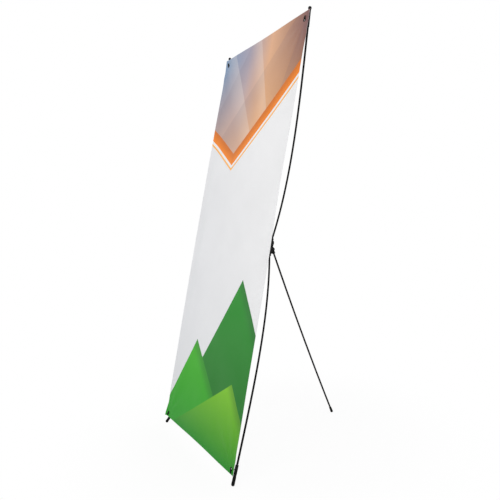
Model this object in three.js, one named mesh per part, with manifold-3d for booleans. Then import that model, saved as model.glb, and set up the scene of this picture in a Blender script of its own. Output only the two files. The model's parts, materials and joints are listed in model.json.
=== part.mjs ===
// An x banner stand. Four one-piece poles swing in a moulded hub and bow forward to the corners of a
// printed banner, which stretches between their hooks. A fifth pole props the hub from behind.
// Millimetres. +Z is up, +X is to the right of someone who reads the banner, and the print faces -Y.
// The origin is on the ground, under the middle of the whole stand.
import * as THREE from "three";
import { mergeVertices } from "three/addons/utils/BufferGeometryUtils.js";
import Module from "manifold-3d";

const wasm = await Module();
wasm.setup();

// Clearances and facets
const seatGap = 0.3; // between two pieces that touch
const cutOverrun = 2; // how far a cutting solid runs past what it cuts
const poleSides = 10;
const poleSteps = 19;
const turnedSides = 16;
const screwSides = 12;
const eyeSides = 20;
const profileSteps = 5; // facets of a round stretch in a turned profile
const outlineSteps = 3; // half the facets of a round stretch in an outline
const barSteps = 10;
const hexSides = 6;
const handleShare = 1 / 3; // how far a bow's control points stand from its ends, of its length
const endSlopeShare = 1.5; // the slope at the end of a sprung rod, of its spring over its length

// The banner and its eyelets
const banner = { width: 800, height: 2000, thickness: 0.6 };
const eyelet = {
  upper: { fromSide: 33, fromEnd: 38 },
  lower: { fromSide: 25, fromEnd: 20 },
  boreRadius: 5.3,
  barrelWall: 1,
  flangeWidth: 2.9,
  flangeThickness: 1,
  flangeRound: 0.4,
  lipWidth: 0.9,
  lipThickness: 0.6,
  washerWidth: 2.4,
  washerThickness: 0.8,
};

// How the stand is set up
const stance = {
  lean: THREE.MathUtils.degToRad(13.5),
  hubRise: 985, // along the banner, from its lower edge to the hub's centre
  hubBehind: 228, // from the banner to the plane in which the knuckles swing
  legSpread: THREE.MathUtils.degToRad(32.5), // between the hub's plane and the rear leg at its knuckle
  legBow: THREE.MathUtils.degToRad(3), // how much further the rear leg has turned at its foot
};

// The poles: solid fibreglass rod
const pole = { radius: 4.6, shortOfEnd: 20 };

// The pole holders in the hub
const knuckle = {
  eyeRadius: 9,
  skin: 1.2, // left on the flats beside the bore
  flank: 1.95, // left on the neck's sides beside the bore
  socketWall: 2.95,
  socketLength: 9,
  collarLip: 0.7,
  collarLength: 5,
  edgeRound: 0.6,
  boreFloor: 1.5, // from the eye's edge to the bottom of the bore
  tilt: THREE.MathUtils.degToRad(2.6), // the socket leans this much towards the banner
};

// The hub: two shells, screwed together over the knuckles
const hub = {
  pocketGap: 0.5,
  sideWall: 4,
  webWidth: 13, // left between the two pockets side by side
  webHeight: 25, // left between an upper and a lower pocket
  waistRadius: 80,
  notchRadius: 14,
  frontPlate: 4,
  rearPlate: 4.5,
  edgeRound: 0.8,
  panelInset: 3.2,
  panelDepth: 0.8,
  padWidth: 1.6, // round each screw head, level with the shell's face
  swingGap: 1.2, // between a boss and the socket that swings round it
  ribHeight: 3,
  ribWidth: 2.4,
};

// The screws through the knuckles and the two that clamp the shells beside the waist, and their nuts
const pivotScrew = { radius: 2.5, headRadius: 4.6, headHeight: 2.6, headRound: 1, tail: 1.5 };
const clampScrew = { radius: 2, headRadius: 3.8, headHeight: 2.2, headRound: 0.8, tail: 1.5 };
const nutShape = { wall: 1.9, height: 3.6, pocketDepth: 1.8 };
const driveSocket = { share: 0.5, depthShare: 0.6 }; // of the head's radius and height

// The rear leg's hinge
const clevis = {
  reach: 13.5, // from the rear shell's face to the hinge axis
  drop: 8, // below the hub's centre
  earThickness: 5,
  bossRadius: 8.5,
  footAbove: 16, // how far the ears spread on the shell, above and below the hinge axis
  footBelow: 8.5,
};
const hingeBolt = { radius: 3, headRadius: 5.2, headHeight: 3, headRound: 1, tail: 1.5 };
const legKnuckle = {
  width: 10.5,
  eyeRadius: 8,
  socketLength: 14,
  heelLow: 4, // the heel's flat, measured up from the hinge axis
  heelHigh: 14,
  heelNeck: 6, // how far the heel's root spreads round the hinge axis
};

// What is fitted on the pole ends
const hook = {
  sleeveWall: 1.15, // on the upper poles
  collarWall: 2.2, // on the lower poles
  capLead: 21, // before the eyelet, on the upper poles
  collarLead: 15, // the same on the lower poles
  collarTail: 12, // after the eyelet, on the lower poles
  mouthRound: 0.5,
  barWidth: 5.4,
  barDepth: 4,
  barRound: 1.2,
  bendRadius: 4.5,
  fingerLength: 13, // past the post's centre
  fingerGap: 1, // in front of the eyelet
  fingerNod: THREE.MathUtils.degToRad(4), // the finger leans back towards the banner
};
const knob = { radius: 8, pastEdge: 10.7, neckLength: 6, edgeGap: 3 };
const foot = {
  wall: 2.2,
  flare: 0.35,
  pastEdge: 36.5, // from the banner's lower edge to the centre of the foot's round end
  edgeGap: 10.6,
  mouthRound: 0.8,
  groundFlat: 1, // how deep the round end is cut where it stands
  cutSize: 60, // the side of the block that cuts it
  ribCount: 3,
  ribPitch: 5,
  ribDepth: 0.5,
};
const legFoot = { wall: 1.3, flare: 0.9, length: 26, mouthRound: 0.8 };

// Sizes that follow from the ones above
const poleBore = pole.radius + seatGap;
const eyeThickness = 2 * (poleBore + knuckle.skin);
const neckHalfWidth = poleBore + knuckle.flank;
const socketRadius = poleBore + knuckle.socketWall;
const collarRadius = socketRadius + knuckle.collarLip;
const pocketRadius = knuckle.eyeRadius + hub.pocketGap;
const bossRadius = pocketRadius + hub.sideWall;
const pivotAside = pocketRadius + hub.webWidth / 2;
const pivotAbove = pocketRadius + hub.webHeight / 2;
const socketStart = bossRadius + hub.swingGap;
const socketMouth = socketStart + knuckle.socketLength;
const boreFloor = knuckle.eyeRadius + knuckle.boreFloor;
const cavity = eyeThickness + 2 * seatGap;
const frontInner = -cavity / 2;
const frontFace = frontInner - hub.frontPlate;
const rearInner = cavity / 2;
const rearFace = rearInner + hub.rearPlate;
const sleeveRadius = poleBore + hook.sleeveWall;
const lowerCollarRadius = poleBore + hook.collarWall;
const footRadius = poleBore + foot.wall + foot.flare;
const legFootRadius = poleBore + legFoot.wall + legFoot.flare;
const eyeletOuter = eyelet.boreRadius + eyelet.barrelWall;
const bannerHole = eyeletOuter + seatGap;
const sides = [
  { name: "right", sign: 1 },
  { name: "left", sign: -1 },
];
const levels = [
  { name: "upper", sign: 1, eyelet: eyelet.upper },
  { name: "lower", sign: -1, eyelet: eyelet.lower },
];

// Materials
const finishes = {
  pole: { color: 0x0d0d0f, roughness: 0.32, metalness: 0 },
  moulding: { color: 0x151517, roughness: 0.55, metalness: 0 },
  rubber: { color: 0x101011, roughness: 0.8, metalness: 0 },
  steel: { color: 0x2b2b2e, roughness: 0.42, metalness: 0.8 },
  blackened: { color: 0x1c1c1e, roughness: 0.45, metalness: 0.6 },
  print: { color: 0xe8e9ea, roughness: 0.5, metalness: 0 },
};

// Solids and geometries
function solidOf(geometry) {
  const bare = geometry.index ? geometry.toNonIndexed() : geometry.clone();
  bare.deleteAttribute("normal");
  bare.deleteAttribute("uv");
  const merged = mergeVertices(bare);
  return new wasm.Manifold(
    new wasm.Mesh({
      numProp: 3,
      vertProperties: new Float32Array(merged.attributes.position.array),
      triVerts: new Uint32Array(merged.index.array),
    }),
  );
}

function geometryOf(solid) {
  const mesh = solid.getMesh();
  const geometry = new THREE.BufferGeometry();
  geometry.setAttribute("position", new THREE.BufferAttribute(mesh.vertProperties, 3));
  geometry.setIndex(new THREE.BufferAttribute(mesh.triVerts, 1));
  geometry.computeVertexNormals();
  return geometry;
}

function joined(geometries) {
  return geometries.map(solidOf).reduce((whole, piece) => whole.add(piece));
}

function carve(geometries, cuts) {
  const body = joined(geometries);
  return geometryOf(cuts.length ? body.subtract(joined(cuts)) : body);
}

function piece(name, finish, geometry) {
  const mesh = new THREE.Mesh(geometry, new THREE.MeshStandardMaterial(finishes[finish]));
  mesh.name = name;
  return mesh;
}

// A turned shape. The profile is a list of [radius, height] pairs, and the axis is +Z.
function turned(profile, facets = turnedSides) {
  const points = profile.map(([radius, height]) => new THREE.Vector2(radius, height));
  return new THREE.LatheGeometry(points, facets).rotateX(Math.PI / 2);
}

// Points along an arc of a profile, from one angle to another, measured from the radius axis
function profileArc(centre, radius, from, to, steps = profileSteps) {
  return Array.from({ length: steps + 1 }, (_, index) => {
    const angle = from + ((to - from) * index) / steps;
    return [centre[0] + radius * Math.cos(angle), centre[1] + radius * Math.sin(angle)];
  });
}

function rod(radius, from, to, facets = turnedSides) {
  return turned([[0, from], [radius, from], [radius, to], [0, to]], facets);
}

// The same along +Y, which is across the hub, and along +X, which is the rear hinge's way
const alongY = (geometry) => geometry.rotateX(-Math.PI / 2);
const alongX = (geometry) => geometry.rotateY(Math.PI / 2);

// A flat shape drawn in X and Z, made solid from one Y to another
function plate(shape, fromY, toY, round = 0, steps = outlineSteps) {
  const geometry = new THREE.ExtrudeGeometry(shape, {
    depth: toY - fromY - 2 * round,
    curveSegments: steps,
    bevelEnabled: round > 0,
    bevelThickness: round,
    bevelSize: round,
    bevelOffset: -round,
    bevelSegments: 1,
  });
  return geometry.rotateX(Math.PI / 2).translate(0, toY - round, 0);
}

// A flat shape drawn in Y and Z, made solid between two X values
function slab(shape, fromX, toX) {
  const geometry = new THREE.ExtrudeGeometry(shape, {
    depth: toX - fromX,
    curveSegments: outlineSteps,
    bevelEnabled: false,
  });
  const drawnToModel = new THREE.Matrix4().makeBasis(
    new THREE.Vector3(0, 1, 0),
    new THREE.Vector3(0, 0, 1),
    new THREE.Vector3(1, 0, 0),
  );
  return geometry.applyMatrix4(drawnToModel).translate(fromX, 0, 0);
}

function polygon(points) {
  return new THREE.Shape(points.map(([across, up]) => new THREE.Vector2(across, up)));
}

function tubeAlong(path, radius, steps, facets) {
  const section = new THREE.Shape().absarc(0, 0, radius, 0, 2 * Math.PI, false);
  return new THREE.ExtrudeGeometry(section, {
    steps,
    curveSegments: facets / 2,
    bevelEnabled: false,
    extrudePath: path,
  });
}

// Where each arm lies, and how its pole bows. An arm is drawn with its pivot at the origin, its pole
// running up +Z in the banner's plane, and -Y towards the banner.
function layOutArm(side, level) {
  const pivot = new THREE.Vector3(
    side.sign * pivotAside,
    stance.hubBehind,
    stance.hubRise + level.sign * pivotAbove,
  );
  const { fromSide, fromEnd } = level.eyelet;
  const cornerX = banner.width / 2 - fromSide;
  const cornerZ = level.sign > 0 ? banner.height - fromEnd : fromEnd;
  const acrossX = side.sign * (cornerX - pivotAside);
  const alongZ = cornerZ - pivot.z;
  const swing = Math.atan2(cornerX - pivotAside, Math.abs(alongZ));
  const toEyelet = Math.hypot(acrossX, alongZ);
  const toEdge = toEyelet + fromEnd / Math.cos(swing);
  const sleeveStart = toEyelet - (level.sign > 0 ? hook.capLead : hook.collarLead);
  const axisBehindEdge = level.sign > 0 ? sleeveRadius + knob.edgeGap : footRadius + foot.edgeGap;
  const endCentre = toEdge + (level.sign > 0 ? knob.pastEdge : foot.pastEdge);

  const startSlope = Math.tan(knuckle.tilt);
  const bowed = sleeveStart - socketMouth;
  const straight = toEdge - sleeveStart;
  const forward = stance.hubBehind - startSlope * socketMouth - axisBehindEdge;
  const springs = (forward - startSlope * (bowed + straight)) / (1 + (endSlopeShare * straight) / bowed);
  const endSlope = startSlope + (endSlopeShare * springs) / bowed;
  const mouthY = -startSlope * socketMouth;
  const edgeY = axisBehindEdge - stance.hubBehind;
  const endAxis = (z) => new THREE.Vector3(0, edgeY - endSlope * (z - toEdge), z);
  const startAxis = (z) => new THREE.Vector3(0, -startSlope * z, z);
  return {
    side, level, pivot, swing, toEyelet, toEdge, sleeveStart, endCentre,
    endSlope, mouthY, endAxis, startAxis, bowed,
    bannerY: -stance.hubBehind,
    turn: Math.atan2(acrossX, alongZ),
    startTilt: knuckle.tilt,
    endTilt: Math.atan(endSlope),
    poleStart: boreFloor + seatGap,
    poleEnd: endCentre - pole.shortOfEnd,
  };
}

function poleAxis(arm) {
  const handle = arm.bowed * handleShare;
  const leave = arm.startAxis(socketMouth);
  const arrive = arm.endAxis(arm.sleeveStart);
  const path = new THREE.CurvePath();
  path.add(new THREE.LineCurve3(arm.startAxis(arm.poleStart), leave));
  path.add(
    new THREE.CubicBezierCurve3(
      leave,
      arm.startAxis(socketMouth + handle),
      arm.endAxis(arm.sleeveStart - handle),
      arrive,
    ),
  );
  path.add(new THREE.LineCurve3(arrive, arm.endAxis(arm.poleEnd)));
  return path;
}

// Puts a turned shape, drawn round +Z, on an arm's axis: a height of 0 in its profile lies at `at`
function onAxis(geometry, at, tilt) {
  return geometry.rotateX(tilt).translate(at.x, at.y, at.z);
}

function buildKnuckle(arm) {
  const half = eyeThickness / 2;
  const eye = alongY(rod(knuckle.eyeRadius, -half, half, eyeSides));
  const neck = plate(
    polygon([
      [-neckHalfWidth, 0],
      [neckHalfWidth, 0],
      [neckHalfWidth, socketStart + knuckle.edgeRound],
      [-neckHalfWidth, socketStart + knuckle.edgeRound],
    ]),
    -half,
    half,
  );
  const slant = Math.cos(arm.startTilt);
  const from = socketStart / slant;
  const to = socketMouth / slant;
  const collarFrom = to - knuckle.collarLength;
  const socket = turned([
    [0, from],
    [socketRadius - knuckle.edgeRound, from],
    [socketRadius, from + knuckle.edgeRound],
    [socketRadius, collarFrom - knuckle.collarLip],
    [collarRadius, collarFrom],
    [collarRadius, to - knuckle.edgeRound],
    [collarRadius - knuckle.edgeRound, to],
    [0, to],
  ]);
  const bore = rod(poleBore, boreFloor / slant, to + cutOverrun);
  const origin = new THREE.Vector3(0, 0, 0);
  const hole = alongY(rod(pivotScrew.radius + seatGap, -half - cutOverrun, half + cutOverrun, screwSides));
  return carve(
    [eye, neck, onAxis(socket, origin, arm.startTilt)],
    [onAxis(bore, origin, arm.startTilt), hole],
  );
}

// The bar that leaves the sleeve, passes through the eyelet and turns outwards over it
function hookBar(arm) {
  const corner = Math.sqrt((eyelet.boreRadius - seatGap) ** 2 - (hook.barWidth / 2) ** 2);
  const postZ = arm.toEyelet + corner - hook.barDepth / 2;
  const root = arm.endAxis(postZ);
  const flangeFront = arm.bannerY - banner.thickness / 2 - seatGap - eyelet.flangeThickness;
  const fingerY = flangeFront - hook.fingerGap - hook.barDepth / 2;
  const tipReach = hook.fingerLength - hook.bendRadius;
  const nod = Math.tan(hook.fingerNod) * tipReach;
  const path = new THREE.CurvePath();
  const bendStart = new THREE.Vector3(0, fingerY + hook.bendRadius, postZ);
  const bendEnd = new THREE.Vector3(0, fingerY, postZ + hook.bendRadius);
  path.add(new THREE.LineCurve3(root, bendStart));
  path.add(new THREE.QuadraticBezierCurve3(bendStart, new THREE.Vector3(0, fingerY, postZ), bendEnd));
  path.add(new THREE.LineCurve3(bendEnd, new THREE.Vector3(0, fingerY + nod, postZ + hook.fingerLength)));
  return { path, tip: new THREE.Vector3(0, fingerY + nod, postZ + hook.fingerLength) };
}

function barSection() {
  const halfDepth = hook.barDepth / 2;
  const halfWidth = hook.barWidth / 2;
  const round = hook.barRound;
  return polygon([
    [-halfDepth + round, -halfWidth],
    [halfDepth - round, -halfWidth],
    [halfDepth, -halfWidth + round],
    [halfDepth, halfWidth - round],
    [halfDepth - round, halfWidth],
    [-halfDepth + round, halfWidth],
    [-halfDepth, halfWidth - round],
    [-halfDepth, -halfWidth + round],
  ]);
}

function buildHookBar(arm) {
  const { path, tip } = hookBar(arm);
  const bar = new THREE.ExtrudeGeometry(barSection(), {
    steps: barSteps,
    bevelEnabled: false,
    extrudePath: path,
  });
  const end = new THREE.SphereGeometry(hook.barDepth / 2, screwSides, profileSteps);
  end.scale(hook.barWidth / hook.barDepth, 1, 1).translate(tip.x, tip.y, tip.z);
  return [bar, end];
}

function buildHookCap(arm) {
  const slant = Math.cos(arm.endTilt);
  const along = (z) => (z - arm.toEyelet) / slant;
  const from = along(arm.sleeveStart);
  const ball = along(arm.endCentre);
  const neckAngle = Math.asin(sleeveRadius / knob.radius);
  const shell = turned([
    [0, from],
    [sleeveRadius - hook.mouthRound, from],
    [sleeveRadius, from + hook.mouthRound],
    [sleeveRadius, ball - knob.radius * Math.cos(neckAngle) - knob.neckLength / 2],
    ...profileArc([0, ball], knob.radius, -Math.PI / 2 + neckAngle, Math.PI / 2).slice(1, -1),
    [0, ball + knob.radius],
  ]);
  const bore = rod(poleBore, from - cutOverrun, along(arm.poleEnd) + seatGap);
  const at = arm.endAxis(arm.toEyelet);
  return carve(
    [onAxis(shell, at, arm.endTilt), ...buildHookBar(arm)],
    [onAxis(bore, at, arm.endTilt)],
  );
}

function buildHookCollar(arm) {
  const slant = Math.cos(arm.endTilt);
  const from = -hook.collarLead / slant;
  const to = hook.collarTail / slant;
  const shell = turned([
    [0, from],
    [lowerCollarRadius - hook.mouthRound, from],
    [lowerCollarRadius, from + hook.mouthRound],
    [lowerCollarRadius, to - hook.mouthRound],
    [lowerCollarRadius - hook.mouthRound, to],
    [0, to],
  ]);
  const bore = rod(poleBore, from - cutOverrun, to + cutOverrun);
  const at = arm.endAxis(arm.toEyelet);
  return carve(
    [onAxis(shell, at, arm.endTilt), ...buildHookBar(arm)],
    [onAxis(bore, at, arm.endTilt)],
  );
}

// A rubber foot: it narrows towards its mouth, has shallow grooves above its round end, and is cut flat
// where it stands.
function footProfile(from, centre, wall, flare, mouthRound, grooves) {
  const mouth = poleBore + wall;
  const end = mouth + flare;
  const rings = Array.from({ length: grooves }, (_, index) => {
    const height = centre - (grooves - index) * foot.ribPitch;
    const radius = mouth + (flare * (height - from)) / (centre - from);
    return [
      [radius, height - foot.ribDepth],
      [radius - foot.ribDepth, height],
      [radius, height + foot.ribDepth],
    ];
  }).flat();
  return [
    [0, from],
    [mouth - mouthRound, from],
    [mouth, from + mouthRound],
    ...rings,
    ...profileArc([0, centre], end, 0, Math.PI / 2).slice(0, -1),
    [0, centre + end],
  ];
}

// Everything below the ground, as seen from inside a turned and moved group
function belowGround(groundDrop, under, groupMatrix) {
  const block = new THREE.BoxGeometry(foot.cutSize, foot.cutSize, foot.cutSize);
  block.translate(0, 0, -foot.cutSize / 2);
  const down = new THREE.Vector3(0, Math.sin(stance.lean), -Math.cos(stance.lean));
  const height = -under.dot(down) + groundDrop;
  const onGround = under.clone().addScaledVector(down, height);
  block.rotateX(stance.lean).translate(onGround.x, onGround.y, onGround.z);
  return block.applyMatrix4(groupMatrix.clone().invert());
}

function buildFoot(arm, groundDrop) {
  const slant = Math.cos(arm.endTilt);
  const from = (hook.collarTail + seatGap) / slant;
  const centre = (arm.endCentre - arm.toEyelet) / slant;
  const profile = footProfile(from, centre, foot.wall, foot.flare, foot.mouthRound, foot.ribCount);
  const bore = rod(poleBore, from - cutOverrun, (arm.poleEnd - arm.toEyelet) / slant + seatGap);
  const at = arm.endAxis(arm.toEyelet);
  return carve(
    [onAxis(turned(profile), at, arm.endTilt)],
    [onAxis(bore, at, arm.endTilt), belowGround(groundDrop, endPoint(arm), armMatrix(arm))],
  );
}

function armMatrix(arm) {
  return new THREE.Matrix4().makeRotationY(arm.turn).setPosition(arm.pivot);
}

// The centre of the round end of an arm, in the banner's frame
function endPoint(arm) {
  return arm.endAxis(arm.endCentre).applyMatrix4(armMatrix(arm));
}

// The eyelet is a flange in front of the banner, a barrel through it and a lip rolled over the washer
function buildEyelet(arm) {
  const front = banner.thickness / 2 + seatGap;
  const back = front + eyelet.washerThickness + seatGap;
  const outer = eyeletOuter + eyelet.flangeWidth;
  const ring = turned([
    [eyelet.boreRadius, -back - eyelet.lipThickness],
    [eyeletOuter + eyelet.lipWidth, -back - eyelet.lipThickness],
    [eyeletOuter + eyelet.lipWidth, -back],
    [eyeletOuter, -back],
    [eyeletOuter, front],
    [outer, front],
    [outer, front + eyelet.flangeThickness - eyelet.flangeRound],
    [outer - eyelet.flangeRound, front + eyelet.flangeThickness],
    [eyelet.boreRadius + eyelet.flangeRound, front + eyelet.flangeThickness],
    [eyelet.boreRadius, front + eyelet.flangeThickness - eyelet.flangeRound],
    [eyelet.boreRadius, -back - eyelet.lipThickness],
  ]);
  return ring.rotateX(Math.PI / 2).translate(0, arm.bannerY, arm.toEyelet);
}

function buildWasher(arm) {
  const from = banner.thickness / 2 + seatGap;
  const inner = eyeletOuter + seatGap;
  const outer = inner + eyelet.washerWidth;
  const ring = turned([
    [inner, -from - eyelet.washerThickness],
    [outer, -from - eyelet.washerThickness],
    [outer, -from],
    [inner, -from],
    [inner, -from - eyelet.washerThickness],
  ]);
  return ring.rotateX(Math.PI / 2).translate(0, arm.bannerY, arm.toEyelet);
}

function buildBanner() {
  const halfWidth = banner.width / 2;
  const outline = polygon([
    [-halfWidth, 0],
    [halfWidth, 0],
    [halfWidth, banner.height],
    [-halfWidth, banner.height],
  ]);
  for (const side of sides) {
    for (const level of levels) {
      const { fromSide, fromEnd } = level.eyelet;
      const x = side.sign * (halfWidth - fromSide);
      const z = level.sign > 0 ? banner.height - fromEnd : fromEnd;
      outline.holes.push(new THREE.Path().absarc(x, z, bannerHole, 0, 2 * Math.PI, true));
    }
  }
  return plate(outline, -banner.thickness / 2, banner.thickness / 2, 0, eyeSides / 2);
}

// The hub's outline: a boss round each pivot, joined by hollow arcs. X and Z from the hub's centre.
function hubOutline() {
  const waistX = pivotAside + Math.sqrt((bossRadius + hub.waistRadius) ** 2 - pivotAbove ** 2);
  const notchZ = pivotAbove + Math.sqrt((bossRadius + hub.notchRadius) ** 2 - pivotAside ** 2);
  const waistTurn = Math.atan2(pivotAbove, waistX - pivotAside);
  const notchTurn = Math.atan2(notchZ - pivotAbove, pivotAside);
  const half = Math.PI;
  return new THREE.Shape()
    .absarc(pivotAside, pivotAbove, bossRadius, -waistTurn, half - notchTurn, false)
    .absarc(0, notchZ, hub.notchRadius, -notchTurn, notchTurn - half, true)
    .absarc(-pivotAside, pivotAbove, bossRadius, notchTurn, half + waistTurn, false)
    .absarc(-waistX, 0, hub.waistRadius, waistTurn, -waistTurn, true)
    .absarc(-pivotAside, -pivotAbove, bossRadius, half - waistTurn, 2 * half - notchTurn, false)
    .absarc(0, -notchZ, hub.notchRadius, half - notchTurn, notchTurn, true)
    .absarc(pivotAside, -pivotAbove, bossRadius, half + notchTurn, 2 * half + waistTurn, false)
    .absarc(waistX, 0, hub.waistRadius, half + waistTurn, half - waistTurn, true);
}

// The room that a knuckle needs in the hub: a round pocket for its eye, and a fan for its neck, whose
// two flanks are the stops of the open and the closed pole
function knuckleRoom(arm) {
  const fromY = frontInner - cutOverrun;
  const flank = neckHalfWidth + seatGap;
  const reach = 2 * bossRadius;
  const acrossX = Math.cos(arm.swing);
  const alongX = Math.sin(arm.swing);
  const inward = [-flank, 0];
  const inwardEnd = [-flank, reach];
  const outward = [flank * acrossX, -flank * alongX];
  const outwardEnd = [outward[0] + reach * alongX, outward[1] + reach * acrossX];
  const place = ([x, z]) => [
    arm.side.sign * (pivotAside + x),
    arm.level.sign * (pivotAbove + z),
  ];
  const corners = [inward, outward, outwardEnd, inwardEnd].map(place);
  if (arm.side.sign * arm.level.sign < 0) corners.reverse();
  const pocket = alongY(rod(pocketRadius, fromY, rearInner, eyeSides));
  pocket.translate(arm.side.sign * pivotAside, 0, arm.level.sign * pivotAbove);
  return [pocket, plate(polygon(corners), fromY, rearInner)];
}

// Where the hub's screws stand: one in each pivot, and one at each side of the waist
function hubFasteners(arms) {
  const pivots = arms.map((arm) => ({
    screwName: `${arm.level.name}_${arm.side.name}_pivot_screw`,
    nutName: `${arm.level.name}_${arm.side.name}_pivot_nut`,
    screw: pivotScrew,
    place: [arm.side.sign * pivotAside, 0, arm.level.sign * pivotAbove],
  }));
  const clamps = sides.map((side) => ({
    screwName: `hub_${side.name}_screw`,
    nutName: `hub_${side.name}_nut`,
    screw: clampScrew,
    place: [side.sign * pivotAside, 0, 0],
  }));
  return [...pivots, ...clamps];
}

function screwHoles(fasteners, fromY, toY) {
  return fasteners.map(({ screw, place }) =>
    alongY(rod(screw.radius + seatGap, fromY, toY, screwSides)).translate(...place),
  );
}

// The front shell: a plate with a sunk panel that leaves a rim and a pad round each screw head
function buildFrontShell(arms) {
  const body = plate(hubOutline(), frontFace, frontInner - seatGap, hub.edgeRound);
  const shrink = (size, by) => (size - by) / size;
  const halfWidth = pivotAside + bossRadius;
  const halfHeight = pivotAbove + bossRadius;
  const sunk = plate(hubOutline(), frontFace - cutOverrun, frontFace + hub.panelDepth);
  sunk.scale(shrink(halfWidth, hub.panelInset), 1, shrink(halfHeight, hub.panelInset));
  const fasteners = hubFasteners(arms);
  const pads = fasteners.map(({ screw, place }) =>
    alongY(
      rod(screw.headRadius + hub.padWidth, frontFace - 2 * cutOverrun, frontInner, eyeSides),
    ).translate(...place),
  );
  const panel = solidOf(sunk).subtract(joined(pads));
  const holes = joined(screwHoles(fasteners, frontFace - cutOverrun, frontInner + cutOverrun));
  return geometryOf(solidOf(body).subtract(panel).subtract(holes));
}

function nutRadius(screw) {
  return (screw.radius + seatGap + nutShape.wall) / Math.cos(Math.PI / hexSides);
}

// An ear of the rear hinge, drawn in Y and Z: a foot on the shell, and a boss round the hinge axis
function earShape() {
  const axis = [rearFace + clevis.reach, -clevis.drop];
  const foot = rearFace - hub.rearPlate / 2;
  const tangent = (footZ, sign) => {
    const across = foot - axis[0];
    const up = footZ - axis[1];
    return Math.atan2(up, across) - sign * Math.acos(clevis.bossRadius / Math.hypot(across, up));
  };
  const high = axis[1] + clevis.footAbove;
  const low = axis[1] - clevis.footBelow;
  const shape = new THREE.Shape();
  shape.moveTo(foot, high);
  shape.lineTo(foot, low);
  const from = tangent(low, -1);
  const to = tangent(high, 1);
  const full = 2 * Math.PI;
  shape.absarc(axis[0], axis[1], clevis.bossRadius, from, to > from ? to : to + full, false);
  return shape;
}

// The rear shell: its plate, the walls round the knuckles, the nut pockets, ribs and the two ears
function buildRearShell(arms) {
  const body = plate(hubOutline(), frontInner, rearFace, hub.edgeRound);
  const inner = legKnuckle.width / 2 + seatGap;
  const outer = inner + clevis.earThickness;
  const ears = [slab(earShape(), inner, outer), slab(earShape(), -outer, -inner)];
  const fasteners = hubFasteners(arms);
  const pads = fasteners.map(({ screw, place }) =>
    alongY(
      rod(nutRadius(screw) + hub.padWidth, rearInner + seatGap, rearFace + hub.ribHeight, eyeSides),
    ).translate(...place),
  );
  const halfRib = hub.ribWidth / 2;
  const ribs = sides.map((side) =>
    plate(
      polygon([
        [side.sign * pivotAside - halfRib, -pivotAbove],
        [side.sign * pivotAside + halfRib, -pivotAbove],
        [side.sign * pivotAside + halfRib, pivotAbove],
        [side.sign * pivotAside - halfRib, pivotAbove],
      ]),
      rearInner + seatGap,
      rearFace + hub.ribHeight,
    ),
  );
  ribs.push(
    ...levels.map((level) =>
      plate(
        polygon([
          [-pivotAside, level.sign * pivotAbove - halfRib],
          [pivotAside, level.sign * pivotAbove - halfRib],
          [pivotAside, level.sign * pivotAbove + halfRib],
          [-pivotAside, level.sign * pivotAbove + halfRib],
        ]),
        rearInner + seatGap,
        rearFace + hub.ribHeight,
      ),
    ),
  );
  const pocketFloor = rearFace + hub.ribHeight - nutShape.pocketDepth;
  const pockets = fasteners.map(({ screw, place }) =>
    hexPrism(nutRadius(screw) + seatGap, pocketFloor, rearFace + hub.ribHeight + cutOverrun).translate(
      ...place,
    ),
  );
  const room = arms.flatMap(knuckleRoom);
  const hinge = alongX(rod(hingeBolt.radius + seatGap, -outer - cutOverrun, outer + cutOverrun, screwSides));
  hinge.translate(0, rearFace + clevis.reach, -clevis.drop);
  const holes = screwHoles(fasteners, frontInner - cutOverrun, rearFace + hub.ribHeight + cutOverrun);
  return carve([body, ...ears, ...pads, ...ribs], [...room, ...pockets, ...holes, hinge]);
}

function hexPrism(radius, fromY, toY) {
  return alongY(rod(radius, fromY, toY, hexSides));
}

// A pan head screw along +Y with its head at -Y, and a hexagon socket in the head
function buildScrew(screw, headY, tailY) {
  const round = screw.headRound;
  const profile = [
    [0, headY - screw.headHeight],
    [screw.headRadius - round, headY - screw.headHeight],
    [screw.headRadius, headY - screw.headHeight + round],
    [screw.headRadius, headY],
    [screw.radius, headY],
    [screw.radius, tailY],
    [0, tailY],
  ];
  const socket = hexPrism(
    screw.headRadius * driveSocket.share,
    headY - screw.headHeight - cutOverrun,
    headY - screw.headHeight * (1 - driveSocket.depthShare),
  );
  return carve([alongY(turned(profile, screwSides))], [socket]);
}

function buildNut(screw, fromY, height) {
  const toY = fromY + height;
  const bore = alongY(rod(screw.radius + seatGap, fromY - cutOverrun, toY + cutOverrun, screwSides));
  return carve([hexPrism(nutRadius(screw), fromY, toY)], [bore]);
}

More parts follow.
